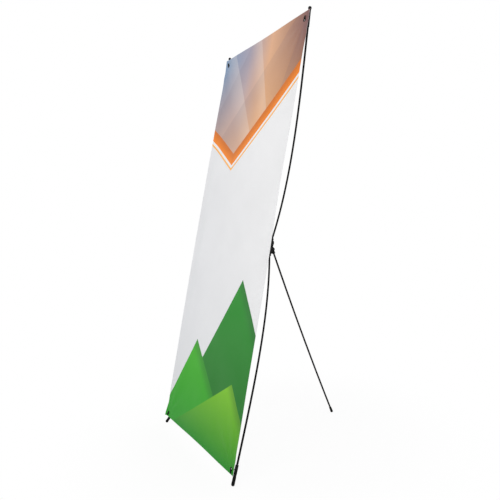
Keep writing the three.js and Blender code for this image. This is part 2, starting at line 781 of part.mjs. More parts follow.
// The rear leg's knuckle, drawn with the hinge axis at the origin, as it stands open: an eye, a heel
// whose flat rests on the rear shell, a neck and a socket
function buildLegKnuckle() {
  const half = legKnuckle.width / 2;
  const heelFace = -clevis.reach + seatGap;
  const eye = alongX(rod(legKnuckle.eyeRadius, -half, half, eyeSides));
  const heel = slab(
    polygon([
      [heelFace, legKnuckle.heelHigh],
      [heelFace, legKnuckle.heelLow],
      [-legKnuckle.heelNeck, -legKnuckle.heelNeck / 2],
      [legKnuckle.heelNeck, 0],
      [legKnuckle.heelNeck / 2, legKnuckle.eyeRadius - knuckle.skin],
    ].reverse()),
    -half,
    half,
  );
  const start = legKnuckle.eyeRadius + hub.swingGap;
  const mouth = legMouth();
  const neckHalf = Math.min(neckHalfWidth, legKnuckle.eyeRadius);
  const neck = slab(
    polygon([
      [-neckHalf, 0],
      [neckHalf, 0],
      [neckHalf, start + knuckle.edgeRound],
      [-neckHalf, start + knuckle.edgeRound],
    ]),
    -half,
    half,
  );
  const collarFrom = mouth - knuckle.collarLength;
  const socket = turned([
    [0, start],
    [socketRadius - knuckle.edgeRound, start],
    [socketRadius, start + knuckle.edgeRound],
    [socketRadius, collarFrom - knuckle.collarLip],
    [collarRadius, collarFrom],
    [collarRadius, mouth - knuckle.edgeRound],
    [collarRadius - knuckle.edgeRound, mouth],
    [0, mouth],
  ]);
  const bore = rod(poleBore, start, mouth + cutOverrun);
  const turnDown = Math.PI + stance.legSpread;
  const leg = [neck, socket, bore].map((geometry) => geometry.rotateX(turnDown));
  const hole = alongX(rod(hingeBolt.radius + seatGap, -half - cutOverrun, half + cutOverrun, screwSides));
  return carve([eye, heel, leg[0], leg[1]], [leg[2], hole]);
}

function legMouth() {
  return legKnuckle.eyeRadius + hub.swingGap + legKnuckle.socketLength;
}

// The rear leg's axis, from its hinge down to the centre of its round foot, in the banner's frame
function layOutLeg(hinge, groundDrop) {
  const direction = (turn) => new THREE.Vector3(0, Math.sin(turn), -Math.cos(turn));
  const start = direction(stance.legSpread);
  const middle = direction(stance.legSpread + stance.legBow / 2);
  const end = direction(stance.legSpread + stance.legBow);
  const up = new THREE.Vector3(0, -Math.sin(stance.lean), Math.cos(stance.lean));
  const mouth = legMouth();
  const inFoot = legFoot.length;
  const drop = hinge.dot(up) + groundDrop - (legFootRadius - foot.groundFlat);
  const fixed = -start.dot(up) * mouth - end.dot(up) * inFoot;
  const span = (drop - fixed) / -middle.dot(up);
  const leave = start.clone().multiplyScalar(mouth);
  const arrive = leave.clone().addScaledVector(middle, span);
  const centre = arrive.clone().addScaledVector(end, inFoot);
  return { start, end, leave, arrive, centre, span, endTurn: stance.legSpread + stance.legBow };
}

function legAxis(leg) {
  const handle = leg.span * handleShare;
  const path = new THREE.CurvePath();
  const from = leg.start.clone().multiplyScalar(legKnuckle.eyeRadius + hub.swingGap + seatGap);
  const short = leg.centre.clone().addScaledVector(leg.end, -legFootRadius);
  path.add(new THREE.LineCurve3(from, leg.leave));
  path.add(
    new THREE.CubicBezierCurve3(
      leg.leave,
      leg.leave.clone().addScaledVector(leg.start, handle),
      leg.arrive.clone().addScaledVector(leg.end, -handle),
      leg.arrive,
    ),
  );
  path.add(new THREE.LineCurve3(leg.arrive, short));
  return path;
}

function buildLegFoot(leg, hinge, groundDrop) {
  const profile = footProfile(-legFoot.length, 0, legFoot.wall, legFoot.flare, legFoot.mouthRound, 0);
  const bore = rod(poleBore, -legFoot.length - cutOverrun, -legFootRadius + seatGap);
  const lie = (geometry) =>
    geometry.rotateX(Math.PI + leg.endTurn).translate(leg.centre.x, leg.centre.y, leg.centre.z);
  const matrix = new THREE.Matrix4().setPosition(hinge);
  const under = leg.centre.clone().add(hinge);
  return carve([lie(turned(profile))], [lie(bore), belowGround(groundDrop, under, matrix)]);
}

function heightAbove(point) {
  return point.z * Math.cos(stance.lean) - point.y * Math.sin(stance.lean);
}

function buildArm(arm, groundDrop) {
  const group = new THREE.Group();
  group.position.copy(arm.pivot);
  group.rotation.y = arm.turn;
  const label = `${arm.level.name}_${arm.side.name}`;
  group.add(piece(`${label}_knuckle`, "moulding", buildKnuckle(arm)));
  group.add(piece(`${label}_pole`, "pole", tubeAlong(poleAxis(arm), pole.radius, poleSteps, poleSides)));
  if (arm.level.sign > 0) {
    group.add(piece(`${label}_hook_cap`, "moulding", buildHookCap(arm)));
  } else {
    group.add(piece(`${label}_hook_collar`, "moulding", buildHookCollar(arm)));
    group.add(piece(`${label}_foot`, "rubber", buildFoot(arm, groundDrop)));
  }
  group.add(piece(`${label}_eyelet`, "blackened", buildEyelet(arm)));
  group.add(piece(`${label}_washer`, "blackened", buildWasher(arm)));
  return group;
}

function buildHub(arms) {
  const group = new THREE.Group();
  group.position.set(0, stance.hubBehind, stance.hubRise);
  group.add(piece("hub_front_shell", "moulding", buildFrontShell(arms)));
  group.add(piece("hub_rear_shell", "moulding", buildRearShell(arms)));

  const nutFrom = rearFace + hub.ribHeight - nutShape.pocketDepth + seatGap;
  const nutTo = nutFrom + nutShape.height;
  for (const { screwName, nutName, screw, place } of hubFasteners(arms)) {
    const screwMesh = piece(screwName, "steel", buildScrew(screw, frontFace - seatGap, nutTo + screw.tail));
    const nutMesh = piece(nutName, "steel", buildNut(screw, nutFrom, nutShape.height));
    for (const mesh of [screwMesh, nutMesh]) {
      mesh.position.set(...place);
      group.add(mesh);
    }
  }

  const earOuter = legKnuckle.width / 2 + seatGap + clevis.earThickness;
  const boltTail = earOuter + seatGap + nutShape.height + hingeBolt.tail;
  const bolt = piece(
    "leg_hinge_bolt",
    "steel",
    buildScrew(hingeBolt, -earOuter - seatGap, boltTail).rotateZ(-Math.PI / 2),
  );
  const nut = piece(
    "leg_hinge_nut",
    "steel",
    buildNut(hingeBolt, earOuter + seatGap, nutShape.height).rotateZ(-Math.PI / 2),
  );
  for (const mesh of [bolt, nut]) {
    mesh.position.set(0, rearFace + clevis.reach, -clevis.drop);
    group.add(mesh);
  }
  return group;
}

function buildRearLeg(groundDrop) {
  const group = new THREE.Group();
  const hinge = new THREE.Vector3(
    0,
    stance.hubBehind + rearFace + clevis.reach,
    stance.hubRise - clevis.drop,
  );
  group.position.copy(hinge);
  const leg = layOutLeg(hinge, groundDrop);
  group.add(piece("rear_leg_knuckle", "moulding", buildLegKnuckle()));
  group.add(piece("rear_leg_pole", "pole", tubeAlong(legAxis(leg), pole.radius, poleSteps, poleSides)));
  group.add(piece("rear_leg_foot", "rubber", buildLegFoot(leg, hinge, groundDrop)));
  return group;
}

function buildStand() {
  const arms = levels.flatMap((level) => sides.map((side) => layOutArm(side, level)));
  const lowEnd = endPoint(arms.find((arm) => arm.level.sign < 0));
  const groundDrop = footRadius - foot.groundFlat - heightAbove(lowEnd);

  const leaning = new THREE.Group();
  leaning.rotation.x = -stance.lean;
  leaning.add(piece("banner_sheet", "print", buildBanner()));
  leaning.add(buildHub(arms));
  for (const arm of arms) leaning.add(buildArm(arm, groundDrop));
  leaning.add(buildRearLeg(groundDrop));

  const stand = new THREE.Group();
  stand.add(leaning);
  stand.updateMatrixWorld(true);
  const box = new THREE.Box3().setFromObject(stand, true);
  leaning.position.set(-(box.min.x + box.max.x) / 2, -(box.min.y + box.max.y) / 2, groundDrop);
  return stand;
}

export default buildStand();
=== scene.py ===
import json
import math

import bmesh
import bpy
import numpy as np
from mathutils import Matrix, Vector


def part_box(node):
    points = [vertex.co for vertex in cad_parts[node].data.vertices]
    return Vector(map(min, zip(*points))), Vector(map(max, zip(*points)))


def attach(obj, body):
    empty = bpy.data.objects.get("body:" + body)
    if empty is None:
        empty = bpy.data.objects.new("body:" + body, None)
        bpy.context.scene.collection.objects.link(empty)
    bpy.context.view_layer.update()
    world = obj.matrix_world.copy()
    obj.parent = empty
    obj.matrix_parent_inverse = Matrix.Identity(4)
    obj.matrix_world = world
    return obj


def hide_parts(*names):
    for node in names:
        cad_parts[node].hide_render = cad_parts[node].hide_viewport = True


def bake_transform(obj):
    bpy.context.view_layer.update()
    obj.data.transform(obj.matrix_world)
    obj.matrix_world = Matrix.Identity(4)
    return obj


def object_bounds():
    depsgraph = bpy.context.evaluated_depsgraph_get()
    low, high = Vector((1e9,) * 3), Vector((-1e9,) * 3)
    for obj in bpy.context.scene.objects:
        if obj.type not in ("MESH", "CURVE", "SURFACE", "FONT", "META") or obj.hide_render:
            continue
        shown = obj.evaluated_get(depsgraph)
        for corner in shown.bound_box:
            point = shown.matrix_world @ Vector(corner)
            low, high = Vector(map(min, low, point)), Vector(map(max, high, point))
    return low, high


# Looks for an x banner stand: a stretched banner, five poles, a moulded hub, hooks and rubber feet.
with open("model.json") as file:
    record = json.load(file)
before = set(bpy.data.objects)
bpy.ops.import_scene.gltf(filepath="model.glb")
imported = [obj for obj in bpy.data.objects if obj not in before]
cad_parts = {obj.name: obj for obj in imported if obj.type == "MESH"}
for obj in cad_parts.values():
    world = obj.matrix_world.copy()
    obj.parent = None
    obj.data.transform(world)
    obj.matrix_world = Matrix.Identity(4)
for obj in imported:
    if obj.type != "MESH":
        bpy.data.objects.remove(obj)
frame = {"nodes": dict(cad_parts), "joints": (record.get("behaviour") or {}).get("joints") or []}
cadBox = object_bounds()
print("frame loaded:", len(frame["nodes"]), "nodes")

corners = {
    "upper_right": (1, 1),
    "upper_left": (-1, 1),
    "lower_right": (1, -1),
    "lower_left": (-1, -1),
}

# The banner leans back. A place on it is given across (x), up the sheet (z) and behind it (y).
banner = {
    "width": 0.8,
    "height": 2.0,
    "thickness": 0.0006,
    "holeRadius": 0.0066,
    "holeSides": 40,
    "punchReach": 0.01,
}
# how far each eyelet is from the side and from the end, at the upper (1) and lower (-1) corners
eyeletInset = {1: (0.033, 0.038), -1: (0.025, 0.020)}
closing = next(joint for joint in frame["joints"] if joint["name"] == "upper_left_swing")
across = Vector((1, 0, 0))
behind = Vector(closing["axis"]).normalized()
upward = across.cross(behind)
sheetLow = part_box("banner_sheet")[0]
halfSheet = banner["thickness"] / 2
sheetFoot = Vector((0, sheetLow.y + halfSheet * behind.y, sheetLow.z - halfSheet * behind.z))


def onBanner(x, z, y=0.0):
    return sheetFoot + across * x + upward * z + behind * y


def eyeletPlace(sideways, level):
    fromSide, fromEnd = eyeletInset[level]
    return sideways * (banner["width"] / 2 - fromSide), banner["height"] - fromEnd if level > 0 else fromEnd


def smoothRise(low, high, value):
    share = np.clip((value - low) / (high - low), 0, 1)
    return share * share * (3 - 2 * share)


# Meshes
def newObject(name, mesh, material):
    piece = bpy.data.objects.new(name, mesh)
    bpy.context.scene.collection.objects.link(piece)
    if material:
        piece.data.materials.append(material)
    return piece


def applyModifiers(piece):
    bpy.context.view_layer.objects.active = piece
    for modifier in list(piece.modifiers):
        bpy.ops.object.modifier_apply(modifier=modifier.name)


def nodePoints(node):
    places = {tuple(round(value, 7) for value in vertex.co) for vertex in frame["nodes"][node].data.vertices}
    return np.array(sorted(places))


def ringCentres(node, start, gap=0.008):
    # the middle of each ring of a rod's points, in order from its start
    points = nodePoints(node)
    away = np.linalg.norm(points - np.array(start), axis=1)
    order = np.argsort(away)
    points, away = points[order], away[order]
    cuts = np.flatnonzero(np.diff(away) > gap) + 1
    return [Vector(ring.mean(axis=0)) for ring in np.split(points, cuts)]


def curvePoints(centres, steps):
    # a smooth line through the centres
    ends = [centres[0] * 2 - centres[1], *centres, centres[-1] * 2 - centres[-2]]
    line = []
    for before, here, there, after in zip(ends, ends[1:], ends[2:], ends[3:]):
        for step in range(steps):
            t = step / steps
            line.append(
                (
                    here * 2
                    + (there - before) * t
                    + (before * 2 - here * 5 + there * 4 - after) * t**2
                    + (here * 3 - before - there * 3 + after) * t**3
                )
                / 2
            )
    return [*line, centres[-1]]


def squareFrames(line):
    # two directions across the line at each of its points, carried along it without twist
    tangents = [(b - a).normalized() for a, b in zip(line, line[1:])]
    tangents.append(tangents[-1])
    side = across - tangents[0] * across.dot(tangents[0])
    if side.length < 0.1:
        side = behind - tangents[0] * behind.dot(tangents[0])
    frames = []
    for tangent in tangents:
        side = (side - tangent * side.dot(tangent)).normalized()
        frames.append((side, tangent.cross(side)))
    return frames


def circlePoints(centre, side, other, radius, sides):
    turns = [2 * math.pi * index / sides for index in range(sides)]
    return [centre + (side * math.cos(turn) + other * math.sin(turn)) * radius for turn in turns]


def ringMesh(name, rings, looped=False):
    # rings of points joined into a closed skin, with a UV map of the share round and the metres along.
    # The two ends are capped, or joined to each other.
    mesh = bmesh.new()
    uvLayer = mesh.loops.layers.uv.new("along")
    count = len(rings[0])
    rows = [[mesh.verts.new(point) for point in ring] for ring in rings]
    if looped:
        rows, rings = [*rows, rows[0]], [*rings, rings[0]]
    lengths = [0.0]
    for ringA, ringB in zip(rings, rings[1:]):
        lengths.append(lengths[-1] + (sum(ringB, Vector()) - sum(ringA, Vector())).length / count)
    for row in range(len(rows) - 1):
        for at in range(count):
            to = (at + 1) % count
            face = mesh.faces.new((rows[row][at], rows[row][to], rows[row + 1][to], rows[row + 1][at]))
            places = [(at, row), (at + 1, row), (at + 1, row + 1), (at, row + 1)]
            for loop, (turn, level) in zip(face.loops, places):
                loop[uvLayer].uv = (turn / count, lengths[level])
    if not looped:
        mesh.faces.new(list(reversed(rows[0])))
        mesh.faces.new(rows[-1])
    bmesh.ops.recalc_face_normals(mesh, faces=mesh.faces)
    data = bpy.data.meshes.new(name)
    mesh.to_mesh(data)
    mesh.free()
    return data


def smoothShade(data, degrees):
    data.shade_smooth()
    data.set_sharp_from_angle(angle=math.radians(degrees))


# Node helpers
def newMaterial(name):
    material = bpy.data.materials.new(name)
    material.use_nodes = True
    material.node_tree.nodes.clear()
    output = material.node_tree.nodes.new("ShaderNodeOutputMaterial")
    shader = material.node_tree.nodes.new("ShaderNodeBsdfPrincipled")
    material.node_tree.links.new(shader.outputs["BSDF"], output.inputs["Surface"])
    return material, material.node_tree, shader


def addNode(tree, kind, values=(), links=(), **settings):
    node = tree.nodes.new(kind)
    for key, value in settings.items():
        setattr(node, key, value)
    for socket, value in dict(values).items():
        node.inputs[socket].default_value = value
    for socket, source in dict(links).items():
        tree.links.new(source, node.inputs[socket])
    return node


def newGroup(name, inputs, outputs):
    group = bpy.data.node_groups.new(name, "ShaderNodeTree")
    for socket, kind, value in inputs:
        made = group.interface.new_socket(socket, in_out="INPUT", socket_type=kind)
        if value is not None:
            made.default_value = value
    for socket, kind in outputs:
        group.interface.new_socket(socket, in_out="OUTPUT", socket_type=kind)
    return group, group.nodes.new("NodeGroupInput"), group.nodes.new("NodeGroupOutput")


def useGroup(tree, group, values=(), links=()):
    return addNode(tree, "ShaderNodeGroup", values=values, links=links, node_tree=group)


def colourOf(red, green, blue):
    # a display colour, 0 to 255, as the linear value that a shader wants
    def linear(value):
        share = value / 255
        return share / 12.92 if share <= 0.04045 else ((share + 0.055) / 1.055) ** 2.4

    return (linear(red), linear(green), linear(blue), 1.0)


def makeGrainGroup():
    # fine surface grain: a height, and a value that wanders over the surface for roughness and colour
    group, source, result = newGroup(
        "surfaceGrain",
        [
            ("Place", "NodeSocketVector", None),
            ("Fine", "NodeSocketFloat", 900.0),
            ("Broad", "NodeSocketFloat", 30.0),
            ("Roughness low", "NodeSocketFloat", 0.4),
            ("Roughness high", "NodeSocketFloat", 0.6),
        ],
        [("Height", "NodeSocketFloat"), ("Roughness", "NodeSocketFloat"), ("Patch", "NodeSocketFloat")],
    )
    fine = addNode(group, "ShaderNodeTexNoise", {"Detail": 3.0, "Roughness": 0.6}, {
        "Vector": source.outputs["Place"], "Scale": source.outputs["Fine"]})
    broad = addNode(group, "ShaderNodeTexNoise", {"Detail": 4.0, "Roughness": 0.55}, {
        "Vector": source.outputs["Place"], "Scale": source.outputs["Broad"]})
    patch = addNode(group, "ShaderNodeMapRange", {"From Min": 0.35, "From Max": 0.65}, {
        "Value": broad.outputs["Fac"]}, clamp=True)
    rough = addNode(group, "ShaderNodeMapRange", {}, {
        "Value": patch.outputs["Result"],
        "To Min": source.outputs["Roughness low"],
        "To Max": source.outputs["Roughness high"],
    })
    group.links.new(fine.outputs["Fac"], result.inputs["Height"])
    group.links.new(rough.outputs["Result"], result.inputs["Roughness"])
    group.links.new(patch.outputs["Result"], result.inputs["Patch"])
    return group


printBleed = 0.0006


def makeEdgeGroup():
    # 1 above a straight printed edge and 0 below it, and a shade that fades out below it. Lengths in metres.
    group, source, result = newGroup(
        "straightEdge",
        [
            ("Across", "NodeSocketFloat", 0.0),
            ("Up", "NodeSocketFloat", 0.0),
            ("Through across", "NodeSocketFloat", 0.0),
            ("Through up", "NodeSocketFloat", 0.0),
            ("Slope", "NodeSocketFloat", 0.0),
            ("Softness", "NodeSocketFloat", 0.001),
        ],
        [("Above", "NodeSocketFloat"), ("Under shade", "NodeSocketFloat")],
    )
    aside = addNode(group, "ShaderNodeMath", {}, {
        0: source.outputs["Across"], 1: source.outputs["Through across"]}, operation="SUBTRACT")
    line = addNode(group, "ShaderNodeMath", {}, {
        0: aside.outputs[0], 1: source.outputs["Slope"], 2: source.outputs["Through up"],
    }, operation="MULTIPLY_ADD")
    height = addNode(group, "ShaderNodeMath", {}, {
        0: source.outputs["Up"], 1: line.outputs[0]}, operation="SUBTRACT")
    sharp = addNode(group, "ShaderNodeMapRange", {"From Min": -printBleed, "From Max": printBleed}, {
        "Value": height.outputs[0]}, interpolation_type="SMOOTHSTEP")
    below = addNode(group, "ShaderNodeMath", {1: -1.0}, {0: source.outputs["Softness"]}, operation="MULTIPLY")
    shade = addNode(group, "ShaderNodeMapRange", {"From Max": 0.0}, {
        "Value": height.outputs[0], "From Min": below.outputs[0]}, interpolation_type="SMOOTHSTEP")
    group.links.new(sharp.outputs["Result"], result.inputs["Above"])
    group.links.new(shade.outputs["Result"], result.inputs["Under shade"])
    return group


def makeFibreGroup():
    # fibres that run along a rod and close round it, from the share round and the metres along
    group, source, result = newGroup(
        "rodFibres",
        [
            ("Round", "NodeSocketFloat", 0.0),
            ("Along", "NodeSocketFloat", 0.0),
            ("Count", "NodeSocketFloat", 4.0),
            ("Pace", "NodeSocketFloat", 3.0),
        ],
        [("Fibre", "NodeSocketFloat")],
    )
    turn = addNode(group, "ShaderNodeMath", {1: 2 * math.pi}, {
        0: source.outputs["Round"]}, operation="MULTIPLY")
    places = []
    for part in ("COSINE", "SINE"):
        wave = addNode(group, "ShaderNodeMath", {}, {0: turn.outputs[0]}, operation=part)
        places.append(addNode(group, "ShaderNodeMath", {}, {
            0: wave.outputs[0], 1: source.outputs["Count"]}, operation="MULTIPLY"))
    places.append(addNode(group, "ShaderNodeMath", {}, {
        0: source.outputs["Along"], 1: source.outputs["Pace"]}, operation="MULTIPLY"))
    place = addNode(group, "ShaderNodeCombineXYZ", {}, {
        axis: node.outputs[0] for axis, node in zip("XYZ", places)})
    fibres = addNode(group, "ShaderNodeTexNoise", {"Scale": 1.0, "Detail": 5.0, "Roughness": 0.65}, {
        "Vector": place.outputs["Vector"]})
    group.links.new(fibres.outputs["Fac"], result.inputs["Fibre"])
    return group


grainGroup = makeGrainGroup()
edgeGroup = makeEdgeGroup()
fibreGroup = makeFibreGroup()


# Materials
bumpDepth = 0.0002


def addGrain(tree, finish):
    place = addNode(tree, "ShaderNodeTexCoord")
    return useGroup(tree, grainGroup, {
        "Fine": finish["fine"], "Broad": finish["broad"],
        "Roughness low": finish["roughness"][0], "Roughness high": finish["roughness"][1]},
        {"Place": place.outputs["Object"]})


def mixFinish(tree, finish, share):
    return addNode(tree, "ShaderNodeMix", {
        "A": colourOf(*finish["deep"]), "B": colourOf(*finish["light"])}, {
        "Factor": share}, data_type="RGBA").outputs["Result"]


def joinSurface(tree, shader, finish, colour, grain, height):
    bump = addNode(tree, "ShaderNodeBump", {"Strength": finish["bump"], "Distance": bumpDepth}, {
        "Height": height})
    tree.links.new(colour, shader.inputs["Base Color"])
    tree.links.new(grain.outputs["Roughness"], shader.inputs["Roughness"])
    tree.links.new(bump.outputs["Normal"], shader.inputs["Normal"])
    shader.inputs["Metallic"].default_value = finish["metallic"]
    shader.inputs["Specular IOR Level"].default_value = finish["specular"]


poleFinish = {
    "deep": (5, 5, 6), "light": (13, 13, 14), "fine": 600.0, "broad": 22.0,
    "roughness": (0.38, 0.5), "bump": 0.06, "metallic": 0.0, "specular": 0.1,
    "fibreCount": 4.0, "fibrePace": 3.0, "fibreTones": (0.42, 0.68),
}


def makePoleMaterial():
    # pultruded fibreglass under a thin black gloss, with faint lengthwise fibres
    material, tree, shader = newMaterial("blackFibreglass")
    along = addNode(tree, "ShaderNodeUVMap", uv_map="along")
    split = addNode(tree, "ShaderNodeSeparateXYZ", {}, {"Vector": along.outputs["UV"]})
    fibres = useGroup(tree, fibreGroup, {
        "Count": poleFinish["fibreCount"], "Pace": poleFinish["fibrePace"]}, {
        "Round": split.outputs["X"], "Along": split.outputs["Y"]})
    low, high = poleFinish["fibreTones"]
    tone = addNode(tree, "ShaderNodeMapRange", {"From Min": low, "From Max": high}, {
        "Value": fibres.outputs["Fibre"]})
    colour = mixFinish(tree, poleFinish, tone.outputs["Result"])
    joinSurface(tree, shader, poleFinish, colour, addGrain(tree, poleFinish), fibres.outputs["Fibre"])
    return material


def makePlainMaterial(name, finish):
    # a moulded or plated surface: colour that wanders a little, fine grain, roughness in patches
    material, tree, shader = newMaterial(name)
    grain = addGrain(tree, finish)
    colour = mixFinish(tree, finish, grain.outputs["Patch"])
    joinSurface(tree, shader, finish, colour, grain, grain.outputs["Height"])
    return material


mouldingFinish = {
    "deep": (5, 5, 6), "light": (11, 11, 12), "fine": 1400.0, "broad": 60.0,
    "roughness": (0.42, 0.56), "bump": 0.22, "metallic": 0.0, "specular": 0.2,
}
rubberFinish = {
    "deep": (9, 9, 9), "light": (19, 19, 19), "fine": 700.0, "broad": 90.0,
    "roughness": (0.7, 0.86), "bump": 0.35, "metallic": 0.0, "specular": 0.12,
}
darkSteelFinish = {
    "deep": (26, 26, 28), "light": (46, 46, 50), "fine": 800.0, "broad": 160.0,
    "roughness": (0.34, 0.5), "bump": 0.1, "metallic": 0.8, "specular": 0.3,
}
blackenedFinish = {
    "deep": (12, 12, 13), "light": (26, 26, 28), "fine": 800.0, "broad": 160.0,
    "roughness": (0.4, 0.55), "bump": 0.1, "metallic": 0.5, "specular": 0.2,
}
printFinish = {
    "fine": 1500.0, "broad": 5.0,
    "roughness": (0.5, 0.62), "bump": 0.06, "metallic": 0.0, "specular": 0.3,
}
sheetBackFinish = {
    "deep": (228, 228, 230), "light": (232, 232, 233), "fine": 1500.0, "broad": 9.0,
    "roughness": (0.55, 0.7), "bump": 0.08, "metallic": 0.0, "specular": 0.3,
}

# The print, in metres from the sheet's lower left corner. Each edge runs through a point with a slope.
printPlan = {
    "ground": (236, 236, 237),
    # the ground's painted shade, a darker tone towards the lower left
    "groundPaintedShade": (222, 223, 226),
    "groundStops": (0.1, 0.75),
    "topField": [
        (0.0, (112, 142, 176)),
        (0.34, (166, 160, 176)),
        (0.62, (222, 172, 136)),
        (1.0, (122, 78, 74)),
    ],
    "topFieldLow": (230, 170, 108),
    "topFieldFades": (1.95, 1.5),
    "topFieldLowShare": 0.55,
    "band": (242, 132, 4),
    "bandShade": (156, 68, 0),
    "bandShadeShare": 0.45,
    "bandSoftness": 0.07,
    "bandLight": (247, 176, 84),
    "notch": (0.27, 1.43),
    "notchSlopes": (-0.62, 0.66),
    "stripe": 0.062,
    "stripeGap": 0.016,
    "stripeThin": 0.012,
    "facets": [
        {"through": (0.1, 1.8), "slope": 1.1},
        {"through": (0.3, 1.7), "slope": -1.6},
        {"through": (0.5, 1.85), "slope": 0.75},
        {"through": (0.55, 1.6), "slope": -2.4},
        {"through": (0.75, 1.9), "slope": 2.2},
    ],
    "facetTones": ((88, 82, 104), (250, 244, 236)),
    "facetShares": (0.14, 0.18),
    "facetSoftness": 0.3,
    "wedges": [
        {
            "tip": (0.60, 0.80), "slopes": (1.45, -1.10), "shade": 0.10,
            "low": (4, 98, 14), "high": (12, 138, 18),
        },
        {
            "tip": (0.22, 0.46), "slopes": (1.60, -0.78), "shade": 0.09,
            "low": (20, 146, 8), "high": (58, 174, 10),
        },
        {
            "tip": (0.66, 0.34), "slopes": (0.60, -0.95), "shade": 0.08,
            "low": (6, 132, 16), "high": (124, 194, 14),
        },
    ],
    "wedgeShade": (14, 72, 32),
    "wedgeShadeShare": 0.4,
    "dust": (120, 120, 120),
    "dustShare": 0.03,
}


def makeBannerMaterial():
    # digital print on a matt sheet, from a UV map that covers the whole banner
    material, tree, shader = newMaterial("printedSheet")
    mapped = addNode(tree, "ShaderNodeUVMap", uv_map="panel")
    split = addNode(tree, "ShaderNodeSeparateXYZ", {}, {"Vector": mapped.outputs["UV"]})

    def combine(operation, first, second):
        node = addNode(tree, "ShaderNodeMath", operation=operation)
        for index, item in enumerate((first, second)):
            if isinstance(item, (int, float)):
                node.inputs[index].default_value = item
            else:
                tree.links.new(item, node.inputs[index])
        return node.outputs[0]

    def mixed(factor, under, over):
        node = addNode(tree, "ShaderNodeMix", data_type="RGBA")
        for socket, item in (("Factor", factor), ("A", under), ("B", over)):
            if isinstance(item, tuple):
                node.inputs[socket].default_value = item
            else:
                tree.links.new(item, node.inputs[socket])
        return node.outputs["Result"]

    def ramp(value, stops):
        node = addNode(tree, "ShaderNodeValToRGB", {}, {"Fac": value})
        while len(node.color_ramp.elements) < len(stops):
            node.color_ramp.elements.new(0.5)
        for element, (place, colour) in zip(node.color_ramp.elements, stops):
            element.position = place
            element.color = colourOf(*colour)
        return node.outputs["Color"]

    x = combine("MULTIPLY", split.outputs["X"], banner["width"])
    z = combine("MULTIPLY", split.outputs["Y"], banner["height"])

    def edge(point, slope, softness):
        return useGroup(tree, edgeGroup, {
            "Through across": point[0], "Through up": point[1], "Slope": slope, "Softness": softness},
            {"Across": x, "Up": z})

    # the pale ground, with painted shade that makes it a little darker towards the lower left
    halves = [combine("MULTIPLY", split.outputs[axis], 0.5) for axis in "XY"]
    tones = (printPlan["groundPaintedShade"], printPlan["ground"])
    colour = ramp(combine("ADD", *halves), list(zip(printPlan["groundStops"], tones)))

    # the top field above a broad notch, with two bands under it
    across0, up0 = printPlan["notch"]
    levels = [0, printPlan["stripe"]]
    levels.append(levels[-1] + printPlan["stripeGap"])
    levels.append(levels[-1] + printPlan["stripeThin"])
    above = []
    for drop in levels:
        left, right = (
            edge((across0, up0 - drop), slope, printPlan["bandSoftness"])
            for slope in printPlan["notchSlopes"])
        above.append((combine("MULTIPLY", left.outputs["Above"], right.outputs["Above"]), left, right))
    colour = mixed(above[3][0], colour, colourOf(*printPlan["bandLight"]))
    colour = mixed(above[2][0], colour, colourOf(*printPlan["ground"]))
    bandShade = combine("MINIMUM", above[0][1].outputs["Under shade"], above[0][2].outputs["Under shade"])
    shadeShare = combine("MULTIPLY", bandShade, printPlan["bandShadeShare"])
    band = mixed(shadeShare, colourOf(*printPlan["band"]), colourOf(*printPlan["bandShade"]))
    colour = mixed(above[1][0], colour, band)
    topField = ramp(split.outputs["X"], printPlan["topField"])
    high, low = printPlan["topFieldFades"]
    lowShare = addNode(tree, "ShaderNodeMapRange", {"From Min": high, "From Max": low}, {"Value": z})
    lowShade = combine("MULTIPLY", lowShare.outputs["Result"], printPlan["topFieldLowShare"])
    topField = mixed(lowShade, topField, colourOf(*printPlan["topFieldLow"]))
    for index, plan in enumerate(printPlan["facets"]):
        facet = edge(plan["through"], plan["slope"], printPlan["facetSoftness"])
        part = combine("MULTIPLY", facet.outputs["Under shade"], printPlan["facetShares"][index % 2])
        sharpSide = combine("SUBTRACT", 1.0, facet.outputs["Above"])
        tone = colourOf(*printPlan["facetTones"][index % 2])
        topField = mixed(combine("MULTIPLY", part, sharpSide), topField, tone)
    colour = mixed(above[0][0], colour, topField)

    # three green wedges in layers, each with a soft shade along the edge of the one before it
    for layer in printPlan["wedges"]:
        left, right = (edge(layer["tip"], slope, layer["shade"]) for slope in layer["slopes"])
        under = [combine("SUBTRACT", 1.0, side.outputs["Above"]) for side in (left, right)]
        inside = combine("MULTIPLY", *under)
        rise = addNode(tree, "ShaderNodeMapRange", {"From Max": layer["tip"][1]}, {"Value": z})
        tone = mixed(rise.outputs["Result"], colourOf(*layer["low"]), colourOf(*layer["high"]))
        lit = combine("MULTIPLY", right.outputs["Under shade"], printPlan["wedgeShadeShare"])
        tone = mixed(lit, tone, colourOf(*printPlan["wedgeShade"]))
        colour = mixed(inside, colour, tone)

    grain = addGrain(tree, printFinish)
    dust = combine("MULTIPLY", grain.outputs["Patch"], printPlan["dustShare"])
    colour = mixed(dust, colour, colourOf(*printPlan["dust"]))
    joinSurface(tree, shader, printFinish, colour, grain, grain.outputs["Height"])
    return material


materials = {
    "pole": makePoleMaterial(),
    "moulding": makePlainMaterial("blackMoulding", mouldingFinish),
    "rubber": makePlainMaterial("blackRubber", rubberFinish),
    "steel": makePlainMaterial("blackOxideSteel", darkSteelFinish),
    "eyelet": makePlainMaterial("blackenedEyelet", blackenedFinish),
    "print": makeBannerMaterial(),
    "sheetBack": makePlainMaterial("sheetBack", sheetBackFinish),
}
print("materials made:", len(materials))
